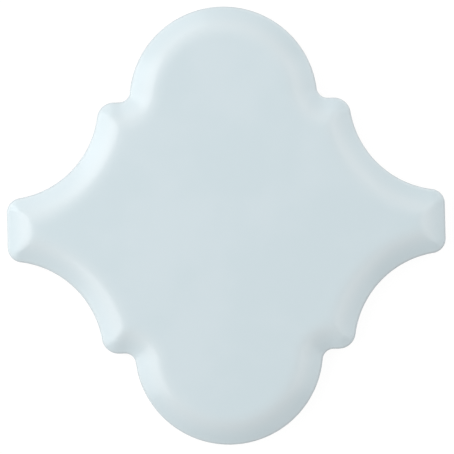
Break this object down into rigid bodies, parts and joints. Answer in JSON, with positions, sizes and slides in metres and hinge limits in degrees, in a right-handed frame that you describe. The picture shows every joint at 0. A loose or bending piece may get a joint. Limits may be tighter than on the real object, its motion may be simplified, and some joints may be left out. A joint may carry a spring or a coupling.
{
  "type": "arabesque wall tile",
  "caption": "Glazed ceramic wall tile with round lobes, flat-ended tips, hollow coves and a soft bevel all round, to nest with its like on a wall.",
  "frame": {"origin": "middle of the tile's back, on its resting plane", "axes": "+X towards the right-hand tip, +Y towards the upper lobe, +Z out of the glazed face"},
  "size_m": [0.15, 0.15, 0.009],
  "materials": {
    "glaze": "gloss"
  },
  "bodies": {
    "root": {"tile": "glaze"}
  },
  "joints": []
}
